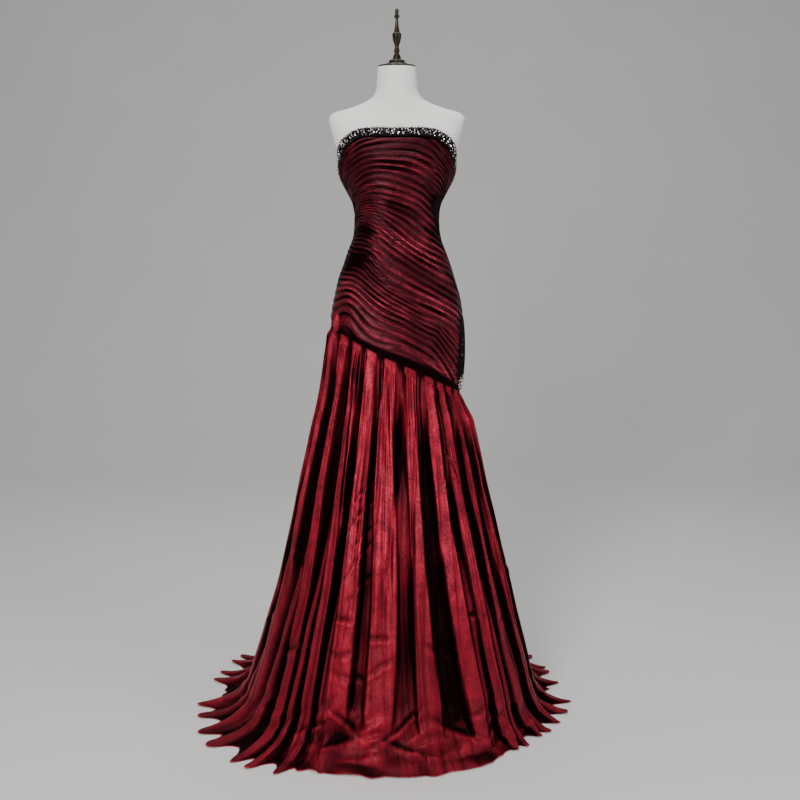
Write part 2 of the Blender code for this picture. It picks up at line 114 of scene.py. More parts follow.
# Depth of the folds by drop below the seam
FOLD_DEPTH = (
    (0.000, 0.0035), (0.020, 0.0070), (0.060, 0.0110), (0.150, 0.0175), (0.260, 0.0235),
    (0.420, 0.0300), (0.600, 0.0360), (0.800, 0.0390), (1.100, 0.0300),
)
# Folds: bearing at the seam, bearing at the hem, fullness
FOLDS = (
    (-172, -171, 1.00), (-157, -156, 0.85), (-143, -142, 1.05), (-128, -127, 0.90), (-113, -113, 1.00),
    (-98, -99, 0.95), (-84, -85, 1.00), (-68, -68, 1.00), (-49, -47, 0.90), (-34, -34, 0.85),
    (-20, -21, 1.10), (-4, -4, 1.00), (9, 10, 0.90), (28, 32, 1.05), (39, 45, 0.95),
    (51, 58, 0.90), (66, 71, 1.00), (83, 86, 1.00), (97, 99, 0.90), (112, 113, 1.05),
    (127, 128, 0.90), (142, 142, 1.00), (157, 156, 0.85), (172, 171, 1.00),
)
# How each fold holds its width: under 1 broad with a thin valley, over 1 narrow with a broad valley
BREADTHS = (
    0.8, 1.3, 0.6, 1.0, 1.5, 0.9, 1.6, 0.8, 2.0, 1.2, 0.34, 0.55,
    1.1, 0.8, 1.0, 1.7, 1.2, 1.6, 0.7, 1.2, 0.8, 1.4, 0.6, 1.1,
)
# Reach of the hem over the floor by bearing
HEM = (
    (-180, 0.640), (-150, 0.615), (-115, 0.560), (-101, 0.552), (-90, 0.556), (-81, 0.562),
    (-71, 0.570), (-63, 0.582), (-54, 0.587), (-42, 0.577), (-32, 0.555), (-24, 0.505),
    (-11, 0.482), (0, 0.480), (10, 0.484), (24, 0.470), (36, 0.465), (46, 0.455), (58, 0.462),
    (72, 0.474), (84, 0.490), (97, 0.484), (109, 0.485), (130, 0.530), (155, 0.605), (180, 0.640),
)
# How far the hem draws in between folds; the bend at the floor; the height of folds that lie on it
HEM_SCALLOP = 0.35
FLOOR_BEND = 0.028
FLOOR_LIFT = 0.016
ALLOWANCE = 0.006

# Hem turned under: how far in and down from the edge
HEM_TURN = ((-0.0004, 0.0008), (0.0010, 0.0014), (0.0100, 0.0014))

# Shaded stretches of the hem on the floor: fold place, half width in folds, start along the floor, depth
HEM_SHADES = (
    (10.35, 0.42, 0.25, 0.80),
    (12.70, 0.36, 0.05, 0.72),
    (9.10, 0.30, 0.35, 0.60),
)

# Creases pressed in the skirt: fold place, height, half length in folds, slope, depth, width
CREASES = (
    # across the broad fold at the front
    (9.85, 0.338, 0.42, 0.00, 0.0062, 0.0055), (9.90, 0.258, 0.45, 0.01, 0.0050, 0.0070),
    (10.80, 0.300, 0.35, 0.00, 0.0056, 0.0055), (13.60, 0.335, 0.32, 0.00, 0.0052, 0.0055),
    (10.20, 0.205, 0.60, -0.02, 0.0036, 0.0080), (10.90, 0.235, 0.40, 0.06, 0.0036, 0.0070),
    # slanting down from the right on the same fold
    (10.20, 0.650, 0.52, 0.100, 0.0022, 0.0055), (10.12, 0.592, 0.56, 0.110, 0.0028, 0.0060),
    (10.24, 0.536, 0.50, 0.100, 0.0020, 0.0055), (10.10, 0.478, 0.58, 0.120, 0.0028, 0.0060),
    (10.20, 0.412, 0.52, 0.110, 0.0022, 0.0060),
    # puddled cloth at the foot of the front
    (10.20, 0.100, 0.55, -0.08, 0.0052, 0.0080), (11.30, 0.085, 0.75, 0.09, 0.0058, 0.0080),
    (11.55, 0.035, 0.70, -0.05, 0.0056, 0.0080), (10.10, 0.045, 0.60, 0.06, 0.0046, 0.0080),
    (12.60, 0.075, 0.60, -0.08, 0.0050, 0.0080), (9.30, 0.070, 0.50, 0.05, 0.0046, 0.0080),
    (13.60, 0.060, 0.50, 0.07, 0.0046, 0.0080),
    # scattered round the rest
    (12.40, 0.265, 0.40, -0.04, 0.0030, 0.0080), (13.20, 0.700, 0.40, 0.16, 0.0036, 0.0070),
    (13.90, 0.690, 0.40, -0.16, 0.0036, 0.0070), (14.60, 0.420, 0.45, -0.06, 0.0032, 0.0080),
    (13.00, 0.110, 0.70, 0.03, 0.0044, 0.0100), (15.30, 0.310, 0.50, 0.06, 0.0034, 0.0080),
    (8.00, 0.240, 0.45, 0.05, 0.0040, 0.0080), (7.40, 0.440, 0.40, -0.09, 0.0030, 0.0080),
    (6.40, 0.280, 0.50, 0.06, 0.0034, 0.0080), (5.00, 0.520, 0.45, 0.08, 0.0032, 0.0080),
    (3.60, 0.340, 0.60, -0.05, 0.0036, 0.0080), (1.50, 0.230, 0.60, 0.03, 0.0038, 0.0080),
    (0.60, 0.480, 0.45, 0.07, 0.0032, 0.0080), (17.00, 0.400, 0.45, 0.06, 0.0034, 0.0080),
    (19.20, 0.210, 0.60, -0.04, 0.0038, 0.0080), (20.60, 0.520, 0.45, 0.08, 0.0032, 0.0080),
    (22.30, 0.300, 0.55, 0.05, 0.0036, 0.0080),
)

# Patches of painted shade where the ruching turns near black: bearing, place down the bodice, half width,
# half length, depth
SHADE_PATCHES = (
    (-76, 0.62, 40, 0.215, 1.00), (-86, 0.24, 30, 0.210, 0.90), (74, 0.23, 28, 0.130, 0.92),
    (84, 0.47, 26, 0.140, 0.90), (86, 0.78, 17, 0.140, 0.90), (-30, 0.845, 22, 0.022, 0.60),
    (5, 0.300, 26, 0.018, 0.50), (120, 0.35, 24, 0.140, 0.70), (150, 0.66, 22, 0.120, 0.70),
    (-140, 0.42, 24, 0.140, 0.70), (-118, 0.78, 20, 0.100, 0.70),
)

# Raised pieces: bearing, height, half width, half height, rise, how far off the cloth
KNOT = (-62, 1.059, 0.015, 0.023, 0.008, 0.0006)
ORNAMENT = (75, 0.978, 0.036, 0.100, 0.002, 0.0007)
ORNAMENT_TAPER = 0.25
PAD_WALL = 0.0012
PAD_OVER_SKIRT = 0.006
# The ruching keeps this share of its rise under them, and grows back over this distance
PAD_CALM = 0.20
CALM_START = 0.008
CALM_FADE = 0.012


def curve(table, value, n=1):
    """Smooth curve through column n of a table, over its first column."""
    places = np.array(table, float)[:, 0]
    heights = np.array(table, float)[:, n]
    slope = np.gradient(heights, places)
    value = np.clip(value, places[0], places[-1])
    i = np.clip(np.searchsorted(places, value) - 1, 0, len(places) - 2)
    step = places[i + 1] - places[i]
    t = (value - places[i]) / step
    start = (1 + 2 * t) * (1 - t) ** 2 * heights[i] + t * (1 - t) ** 2 * step * slope[i]
    return start + t * t * (3 - 2 * t) * heights[i + 1] + t * t * (t - 1) * step * slope[i + 1]


def ease(t):
    t = np.clip(t, 0, 1)
    return t * t * (3 - 2 * t)


def wrap(bearing):
    return (bearing + 180) % 360 - 180


def rounded(bearing, half_width, depth, square):
    """Place on a rounded outline; at a squareness of 2 it is an ellipse."""
    angle = np.radians(bearing)
    across = np.sin(angle)
    along = np.cos(angle)
    x = half_width * np.sign(across) * np.abs(across) ** (2 / square)
    y = -depth * np.sign(along) * np.abs(along) ** (2 / square)
    return x, y


def figure(bearing, height):
    """Places on the form's surface, by bearing in degrees from the front and height."""
    bearing, height = np.broadcast_arrays(bearing, height)
    half, front, back, square = (curve(FIGURE, height, n) for n in (1, 2, 3, 4))
    depth = np.where(np.cos(np.radians(bearing)) > 0, front, back)
    x, y = rounded(bearing, half, depth, square)
    return np.stack([x, y, height], axis=-1)


def unit(vectors):
    return vectors / np.maximum(np.linalg.norm(vectors, axis=-1, keepdims=True), 1e-12)


def normal_of(bearing, height):
    """Unit normals of the figure."""
    along = figure(bearing + 1.5, height) - figure(bearing - 1.5, height)
    up = figure(bearing, height + 0.004) - figure(bearing, height - 0.004)
    return unit(np.cross(along, up))


def off_figure(bearing, height, out):
    """Places on the figure, moved out along its normals."""
    bearing, height, out = np.broadcast_arrays(bearing, height, out)
    return figure(bearing, height) + normal_of(bearing, height) * out[..., None]


def neckline(bearing):
    return curve(NECKLINE, np.abs(wrap(bearing)))


def band_drop(bearing):
    """Depth of the slanting band, straight down."""
    rise = neckline(bearing + 4) - neckline(bearing - 4)
    here = neckline(bearing)
    run = np.linalg.norm(figure(bearing + 4, here)[..., :2] - figure(bearing - 4, here)[..., :2], axis=-1)
    return BAND_WIDTH * np.sqrt(1 + (rise / run) ** 2)


def hip_seam(bearing):
    return SEAM_MIDDLE - SEAM_TILT * np.sin(np.radians(bearing))


def drift(a, b, seed, octaves=5):
    """Slow irregular variation from about -1 to 1 over two measures."""
    rng = np.random.default_rng(seed)
    total = 0
    for _ in range(octaves):
        turn, phase, pace = rng.uniform(0, 2 * math.pi), rng.uniform(0, 2 * math.pi), rng.uniform(0.6, 1.9)
        total = total + np.sin(pace * (a * math.cos(turn) + b * math.sin(turn)) + phase)
    return total / math.sqrt(octaves) / 1.1


def in_scene(name, data):
    """New object with its data, in the scene."""
    made = bpy.data.objects.new(name, data)
    bpy.context.scene.collection.objects.link(made)
    return made


def fast_mesh(name, points, faces, material, uv=None, values=None, flat=False):
    """Mesh of quads or triangles from arrays, with cloth measures as its UV map and named values."""
    points = np.asarray(points, np.float32)
    faces = np.asarray(faces, np.int32)
    mesh = bpy.data.meshes.new(name)
    corners = faces.shape[1]
    mesh.vertices.add(len(points))
    mesh.vertices.foreach_set("co", points.ravel())
    mesh.loops.add(faces.size)
    mesh.loops.foreach_set("vertex_index", faces.ravel())
    mesh.polygons.add(len(faces))
    mesh.polygons.foreach_set("loop_start", np.arange(len(faces), dtype=np.int32) * corners)
    mesh.update(calc_edges=True)
    mesh.polygons.foreach_set("use_smooth", np.full(len(faces), not flat))
    if uv is not None:
        layer = mesh.uv_layers.new(name="cloth")
        layer.data.foreach_set("uv", np.asarray(uv, np.float32)[faces.ravel()].ravel())
    for key, value in (values or {}).items():
        layer = mesh.attributes.new(key, "FLOAT", "POINT")
        layer.data.foreach_set("value", np.asarray(value, np.float32).ravel())
    mesh.materials.append(material)
    return in_scene(name, mesh)


def grid_faces(rows, columns):
    a = (np.arange(rows - 1)[:, None] * columns + np.arange(columns - 1)[None, :]).ravel()
    return np.stack([a, a + 1, a + columns + 1, a + columns], axis=1)


def sheet_mesh(name, grid, material, uv, values):
    rows, columns = grid.shape[:2]
    points = grid.reshape(-1, 3)
    faces = grid_faces(rows, columns)
    middle = points[faces].mean(axis=1)
    normal = np.cross(points[faces[:, 1]] - points[faces[:, 0]], points[faces[:, 3]] - points[faces[:, 0]])
    if (normal[:, 0] * middle[:, 0] + normal[:, 1] * middle[:, 1]).sum() < 0:
        faces = faces[:, ::-1]
    return fast_mesh(name, points, faces, material, uv.reshape(-1, 2), values)


def cloth_uv(grid):
    """Lengths along both ways of a grid, in metres, for the weave."""
    across = np.linalg.norm(np.diff(grid, axis=1), axis=2)
    down = np.linalg.norm(np.diff(grid, axis=0), axis=2)
    u = np.pad(np.cumsum(across, axis=1), ((0, 0), (1, 0)))
    u = u - u[:, u.shape[1] // 2, None]
    v = np.pad(np.cumsum(down, axis=0), ((1, 0), (0, 0)))
    return np.stack([u, v], axis=-1)


def normals_of(grid):
    """Unit normals of a grid of points."""
    return unit(np.cross(np.gradient(grid, axis=1), np.gradient(grid, axis=0)))


def blurred(values, reach):
    """Mean over a window of columns, the edge columns standing for what lies past them."""
    total = np.cumsum(np.pad(values, ((0, 0), (reach, reach), (0, 0)), "edge"), axis=1)
    return (total[:, 2 * reach :] - total[:, : -2 * reach]) / (2 * reach)


def flanked(values, factor):
    """Values with one more column at each end, the end columns times a factor."""
    return np.concatenate([values[:, :1] * factor, values, values[:, -1:] * factor], axis=1)


def entered(made, slot_name, *nodes):
    """Hide the solids that a visible piece stands for, and hang the piece under the root."""
    if nodes:
        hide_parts(*nodes)
    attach(made, "root")


# Bodice

def lean(bearing, course):
    """How far the ruches run down to the viewer's right, as a share of the bodice's length."""
    return 0.078 * np.sin(np.radians(bearing)) * np.sin(np.pi * np.clip((course - 0.20) / 0.80, 0, 1)) ** 1.2


def ruches(phase, turn, seed):
    """Ruches with a sharp tuck below and a soft rise above; the tucks open and close along their length."""
    n = np.floor(phase + 0.5)
    p = phase - n
    vary = np.sin(1.7 * n * n + seed + turn * (5.0 + 2.4 * np.sin(3.1 * n)))
    widen = np.sin(2.3 * n * n + 2 * seed + turn * (3.4 + 1.8 * np.sin(2.2 * n + 1)))
    depth = np.clip(0.58 + 0.58 * vary, 0.06, 1)
    above = np.exp(-((np.minimum(p, 0) / (0.10 + 0.03 * widen)) ** 2))
    below = np.exp(-((np.maximum(p, 0) / (0.19 + 0.06 * widen)) ** 2))
    valley = np.where(p < 0, above, below)
    roundness = 0.74 + 0.26 * np.cos(2 * np.pi * (p - 0.60))
    return roundness * (1 - depth * valley)


def ruching(bearing, course):
    """Rise of the ruching from 0 to 1, from three runs of ruches that take over from one another."""
    turn = np.radians(bearing)
    # fine at the bust, broader over the hips, broadest above the hip seam
    course = course + 0.09 * np.sin(np.pi * course)
    course = course - 0.30 * np.clip(course - 0.82, 0, 1) ** 2 / 0.18
    runs = []
    for count, wide, around, down, seed, fine, close_around, close_down, phase in RUCHE_RUNS:
        place = count * course + wide * drift(turn * around, course * down, seed)
        place = place + fine * drift(turn * close_around, course * close_down, seed + 1)
        runs.append(ruches(place, turn, phase))
    choose = ease(0.5 + 2.6 * drift(turn * 1.9, course * 7.0, 7))
    other = ease(0.2 + 2.4 * drift(turn * 2.1, course * 6.5, 8))
    swell = runs[0] * choose + runs[1] * (1 - choose)
    swell = swell * (1 - other) + runs[2] * other
    strength = 0.80 + 0.30 * drift(turn * 1.8, course * 26, 13)
    fine = ruches(FINE_RUCHES * course + 1.1 * drift(turn * 3.4, course * 26, 9), turn * 1.6, 5.1)
    fine = fine * ease(0.55 + 0.9 * drift(turn * 3.1, course * 16, 10))
    return 0.80 * swell * np.clip(strength, 0.45, 1.1) + 0.20 * fine


def shade_patches(bearing, course):
    """Painted shade: patches where the ruching is coloured near black, from 0 to 1."""
    turn = np.radians(bearing)
    ragged = 0.42 * drift(turn * 2.2, course * 48, 15) + 0.22 * drift(turn * 4.0, course * 110, 16)
    darkest = 0
    for middle, at, wide, tall, depth in SHADE_PATCHES:
        far = np.hypot((bearing - middle) / wide, (course - at) / tall)
        darkest = np.maximum(darkest, depth * ease((1.05 - far + ragged) / 0.45))
    return darkest


def calm(bearing, height):
    """Share of the ruching's rise that is left near the raised pieces."""
    left = 1
    for middle, middle_height, half_width, half_height, _, _ in (KNOT, ORNAMENT):
        reach = np.linalg.norm(figure(middle, middle_height)[:2])
        across = np.radians(bearing - middle) * reach / half_width
        far = np.hypot(across, (height - middle_height) / half_height)
        beyond = (far - 1) * half_width
        left = left * (PAD_CALM + (1 - PAD_CALM) * ease((beyond - CALM_START) / CALM_FADE))
    return left


def bodice_grid(start, end, across, down):
    """Grid of one bodice panel, with the fold height and facing that colour it, painted shade included."""
    bearings = np.linspace(start, end, across + 1)
    top = neckline(bearings)
    begin = top - band_drop(bearings) - UNDER_BAND
    end_height = hip_seam(bearings) + HIP_GAP / 2
    tuck = np.linspace(0, 1, 8)[:-1, None]
    upper = (top - EDGE_TUCK) + (begin - top + EDGE_TUCK) * tuck
    course = np.linspace(0, 1, down + 1)[:, None] * np.ones_like(bearings)
    share = course + lean(bearings, course)
    height = np.concatenate([upper, begin + (end_height - begin) * share])
    share, course = (np.pad(v, ((len(upper), 0), (0, 0))) for v in (share, course))
    bearing = np.broadcast_to(bearings, height.shape)
    swell = ruching(bearing, course)
    side = np.abs(np.cos(np.radians(bearing)))
    pinch = 0.34 + 0.66 * side**0.5
    pinch = pinch * (0.35 + 0.65 * ease((180 - np.abs(wrap(bearing))) / 12))
    pinch = pinch * calm(bearing, height)
    # a plain strip, uneven in width, is left above the hip seam, dark with painted shade
    strip = 0.019 + 0.008 * drift(np.radians(bearing) * 2.6, 0 * course, 17)
    ends = np.minimum(ease(share / 0.012), ease((1 - share - strip) / 0.026))
    rise = RUCHE_RISE * pinch * ends * swell
    grid = off_figure(bearing, height, CLEAR + WALL + rise)
    # how far the cloth turns from the figure, used for painted shade on steep flanks
    facing = np.abs((normals_of(grid) * normal_of(bearing, height)).sum(axis=-1))
    # painted shade in a dark band over the plain strip above the hip seam, and just under the neckline band
    edge_shade = ease((1 - share - strip) / 0.024) * ease(share / 0.010)
    # painted shade in patches, the ridge tops left partly lit
    patch_shade = shade_patches(bearing, course) * (1 - 0.42 * ease((swell - 0.55) / 0.30))
    # painted shade: the bust coloured darker than the waist and hips
    painted_light = 0.76 + 0.24 * ease((course - 0.14) / 0.26)
    # the fold height that colours the cloth, carrying the painted shade
    swell = np.clip(swell, 0, 1) * edge_shade * (1 - patch_shade) * painted_light
    # the same painted shade darkens the facing there
    facing = facing * (0.55 + 0.45 * edge_shade)
    # the raw edge turned in behind the top of the skirt, painted black as shade
    for dip, out in ((0.0015, 0.5), (0.0070, 0.4)):
        grid = np.concatenate([grid, off_figure(bearings, end_height - dip, CLEAR * out)[None]])
        height = np.concatenate([height, (end_height - dip)[None]])
        swell = np.concatenate([swell, swell[-1:] * 0])
        facing = np.concatenate([facing, facing[-1:] * 0])
    # seam allowances pressed back under both ends
    ends = [off_figure(bearings[n], height[:, n], CLEAR * 0.5)[:, None] for n in (1, -2)]
    grid = np.concatenate([ends[0], grid, ends[1]], axis=1)
    # the pressed allowances are painted black as shade
    return grid, flanked(swell, 0), flanked(facing, 0)


# Skirt

def soft_step(h):
    """Height above the floor, with a soft bend where the cloth meets it."""
    return FLOOR_BEND * np.logaddexp(0, h / FLOOR_BEND)


def skirt_plan(bearing, height):
    left, right, front, back = (curve(SKIRT, height, n) for n in (1, 2, 3, 4))
    angle = np.radians(bearing)
    half = np.where(np.sin(angle) < 0, left, right)
    depth = np.where(np.cos(angle) > 0, front, back)
    return rounded(bearing, half, depth, SKIRT_SQUARE)


def skirt_point(bearing, top, bottom, hang, fold, extra, lie):
    """Places on the skirt, hung or laid on the floor, raised by folds and creases."""
    sag = soft_step(hang)
    share = (top - hang) / (top - bottom)
    sag = sag - soft_step(bottom) * share
    drop = np.maximum(top - hang, 0)
    x, y = skirt_plan(bearing, sag)
    reach = np.hypot(x, y)
    depth = curve(FOLD_DEPTH, drop)
    run = soft_step(-hang)
    hung = ease(hang / 0.12)
    scale = (reach - depth * (1 - fold) + run + extra * hung) / reach
    lift = (FLOOR_LIFT * fold + np.maximum(extra, -0.3 * FLOOR_LIFT * fold)) * (1 - hung) * lie
    out = np.stack([x * scale, y * scale, sag + np.maximum(lift, 0) + SKIRT_WALL], axis=-1)
    near = CLEAR + WALL + (0.9 * depth * fold + np.maximum(extra, 0)) * ease(drop / 0.028)
    close = off_figure(bearing, np.minimum(sag, top), near)
    close[..., 2] = top - drop
    hug = ease(drop / HUG)[..., None]
    return close * (1 - hug) + out * hug


def folds_at(place):
    """Bearings at the seam and hem, and fold height, at a place counted in folds."""
    n = np.floor(place).astype(int)
    step = place - n
    turns = np.floor_divide(n, len(FOLDS))
    table = np.array(FOLDS)
    here = table[n % len(FOLDS)]
    after = table[(n + 1) % len(FOLDS)]
    more = np.where((n + 1) % len(FOLDS) == 0, 360, 0)
    at_seam, at_hem = (here[:, k] + (after[:, k] + more - here[:, k]) * step + 360 * turns for k in (0, 1))
    full = here[:, 2] + (after[:, 2] - here[:, 2]) * step
    return at_seam, at_hem, full, step


def within(place, stretch):
    """How far a place counted in folds lies in a stretch of the skirt, from 0 to 1."""
    middle, half, sharp = stretch
    return np.exp(-(((place - middle) / half) ** sharp))


def plateau(wave, low, high):
    """A fold with a broad top and steep flanks, from a plain wave of 0 to 1."""
    return ease((wave - low) / (high - low))


def skirt_grid(first, last, across, down, along_floor):
    """Grid of one skirt panel, with the fold height, painted shade and highlight, and facing that colour it.
    """
    place = np.linspace(first, last, across + 1)
    at_seam, at_hem, full, step = folds_at(place)
    hung = np.concatenate([np.linspace(0, 1, down + 1) ** 1.10, np.ones(along_floor)])[:, None]
    laid = np.concatenate([np.zeros(down + 1), np.linspace(0, 1, along_floor + 1)[1:]])[:, None]
    bearing = at_seam + (at_hem - at_seam) * hung
    top = hip_seam(bearing) - HIP_GAP / 2
    x, y = skirt_plan(bearing, 0.0 * bearing)
    hem = curve(HEM, wrap(bearing))
    turn = place * np.ones_like(hung)
    away = np.minimum(np.abs(turn - SIDE_LEFT), np.abs(turn - SIDE_RIGHT))
    away = np.minimum(away, np.minimum(turn - BACK_LEFT, BACK_RIGHT - turn))
    clear_of_seams = ease(away / 0.35)

    # main folds, broad above and narrow on the floor
    drop = top * hung + 0.15 * laid
    sway = 0.05 * np.sin(drop * 6 + turn * 2.4) + 0.10 * drift(turn * 1.3, drop * 3.4, 31)
    sway = sway * ease(away / 0.6) * ease(drop / 0.2)
    wave = 0.5 + 0.5 * np.cos(2 * np.pi * (step + sway))
    breadth = np.interp(place % len(FOLDS), np.arange(len(FOLDS) + 1), BREADTHS + BREADTHS[:1])
    settled = ease(drop / 0.16)
    breadth = 1 + (breadth - 1) * settled + 0.12 * drift(turn * 0.9, drop * 3.5, 32)
    low = 0.14 + 0.12 * ease((drop - 0.75) / 0.25) + 0.38 * laid
    main = full * plateau(np.clip(wave, 0, 1) ** breadth, low - 0.04 * (1 - laid), low + 0.50)
    # lesser folds that rise in the valleys on the way down
    between = 0.5 - 0.5 * np.cos(2 * np.pi * (step + 0.06 * np.sin(drop * 6 + turn)))
    grown = ease((drop - 0.34 - 0.16 * drift(turn * 1.3, turn * 0, 33)) / 0.42)
    shown = grown * clear_of_seams * (1 - within(turn, PLAIN))
    lesser = 0.86 * plateau(between, 0.62 + 0.16 * laid, 0.97) * shown
    fold = np.maximum(main, lesser)
    # the broad front fold keeps only a narrow valley on its way to the floor
    broad = within(turn, BROAD) * ease((drop - 0.26) / 0.22)
    fold = np.maximum(fold, (0.46 + 0.16 * drift(turn * 3, drop * 9, 35)) * broad)
    # the cloth stays whole across the next valley too, lower down
    joined = within(turn, JOINED) * ease((drop - 0.18) / 0.24)
    fold = np.maximum(fold, (0.50 + 0.18 * drift(turn * 3, drop * 9, 41)) * joined)
    # cloth spread between the folds where it meets the floor
    spread = ease((drop - 0.80) / 0.14) * ease(0.55 + 0.75 * drift(turn * 1.7, laid * 1.5, 36))
    fold = np.maximum(fold, 0.55 * spread * clear_of_seams * (1 - 0.5 * laid))
    # the front's foot is one pooled stretch of cloth
    front = within(turn, POOLED)
    pooled = ease((drop - 0.79) / 0.13) * front * (0.70 + 0.16 * drift(turn * 2.4, drop * 14, 40))
    fold = np.maximum(fold * (1 - 0.45 * front * ease((drop - 0.84) / 0.12)), pooled)
    tip = np.maximum(full * wave[-1] ** 3, 0.86 * between[-1] ** 3 * shown[-1])
    tip = np.maximum(tip, front[-1] * (0.55 + 0.40 * np.sin(turn[-1] * 4.4 + 1.2)))
    bottom = -(hem - np.hypot(x, y)) * (1 - HEM_SCALLOP * (1 - tip))
    hang = top * (1 - hung) + bottom * laid
    drop = top - hang

    # fine gathers that run out below the seam
    many = 4.3 * turn + 0.80 * drift(turn * 2.7, drop * 3, 21)
    gather = plateau(0.5 + 0.5 * np.cos(2 * np.pi * many), 0.1, 0.9)
    length = 0.11 + 0.13 * np.clip(1 + drift(turn * 3.3, turn * 0, 22), 0, 2)
    extra = 0.0044 * gather * ease(drop / 0.035) * np.exp(-((drop / length) ** 1.6))
    # long creases along the folds
    for pace, depth, seed in ((1.9, 0.0060, 23), (3.1, 0.0046, 25), (4.7, 0.0028, 34)):
        phase = pace * turn + 0.85 * drift(turn * 1.9, drop * 2.6, seed)
        trough = (0.5 + 0.5 * np.cos(2 * np.pi * phase)) ** 5
        shown = ease(0.35 + 1.25 * drift(turn * 2.2, drop * 3.4, seed + 1))
        extra = extra - depth * trough * shown * ease((drop - 0.02) / 0.15)
    # cross creases and crumples
    mark = 0 * extra
    for centre, height, half, slope, depth, width in CREASES:
        near = turn - centre
        off = hang - height - slope * near + 0.25 * width * drift(turn * 8, hang * 40, 37)
        along = np.clip(1 - (near / half) ** 2, 0, 1)
        mark = mark - depth * np.exp(-((off / width) ** 2)) * along
        mark += 0.6 * depth * np.exp(-(((off + 1.9 * width) / width) ** 2)) * along
    extra += mark
    low_down = ease((0.17 - hang) / 0.12) * ease((hang + 0.03) / 0.05)
    crumple = drift(turn * 6.0, hang * 46, 27) + 0.6 * drift(turn * 11.0, hang * 80, 28)
    extra += 0.0034 * low_down * crumple * (1 + 1.5 * front)
    creased = within(turn, CREASED) * ease((drop - 0.42) / 0.2)
    extra += 0.0020 * creased * drift(turn * 7.0, hang * 40 - turn * 5, 38)
    extra += 0.0012 * drift(turn * 9.0, drop * 26, 29) * ease(drop / 0.1)
    extra += ease(-hang / 0.02) * 0.0030 * drift(turn * 7.0, hang * 30, 30)
    extra = extra * clear_of_seams
    mark = mark * clear_of_seams

    lie = 1 - 0.70 * ease(laid)
    grid = skirt_point(bearing, top, bottom, hang, np.clip(fold, 0, None), extra, lie)
    # narrow hem turned under
    for inward, down_by in HEM_TURN:
        under = grid[down + along_floor].copy()
        under[:, :2] *= 1 - inward / np.linalg.norm(under[:, :2], axis=-1, keepdims=True)
        under[:, 2] -= down_by
        grid = np.concatenate([grid, under[None]])
    more = ((0, len(HEM_TURN)), (0, 0))
    drop, fold, extra, mark, laid = (np.pad(v, more, "edge") for v in (drop, fold, extra, mark, laid))
    # how far the cloth turns from its smoothed surface, used for painted shade on steep flanks
    normal = normals_of(grid)
    smooth_normal = unit(blurred(normal, int(0.5 * across / (last - first))))
    facing = np.abs((normal * smooth_normal).sum(axis=-1))
    # seam allowances pressed back at both sides
    inside = grid[:, [1, -2]].copy()
    inside[..., :2] *= 1 - ALLOWANCE / np.linalg.norm(inside[..., :2], axis=-1, keepdims=True)
    grid = np.concatenate([inside[:, :1], grid, inside[:, 1:]], axis=1)
    depth = curve(FOLD_DEPTH, drop)
    # painted shade from the fold height: darker down the valleys and in pressed creases
    shade = (depth * fold + 1.5 * extra + 2.5 * mark) / (depth * 1.02 + 0.003)
    # the hem lies in its own shade between two folds at the front
    for middle, half, start, depth_of_shade in HEM_SHADES:
        across_it = np.exp(-(((place - middle - 0.5 * laid) / half) ** 4))
        shade = shade * (1 - depth_of_shade * across_it * ease((laid - start) / 0.22))
    # painted shade: the cloth darker towards the floor
    shade = shade * (1 - 0.40 * ease((drop - 0.40) / 0.30))
    # painted highlight along the stitched hem edge
    shade[down + along_floor - 1 :] = np.maximum(shade[down + along_floor - 1 :], 0.85)
    # the pressed allowances get darker painted shade
    return grid, flanked(np.clip(shade, 0, 1.3), 0.3), flanked(facing, 1)


def panel(node, shaped, drawn_up, material):
    """One cut panel of the dress from its grid, fold height with painted shade, and facing."""
    grid, fold, facing = shaped
    uv = cloth_uv(grid) * (1, drawn_up)
    made = sheet_mesh(node + "_cloth", grid, material, uv, {"fold": fold, "facing": facing})
    entered(made, "dress_cloth", node)


# Materials

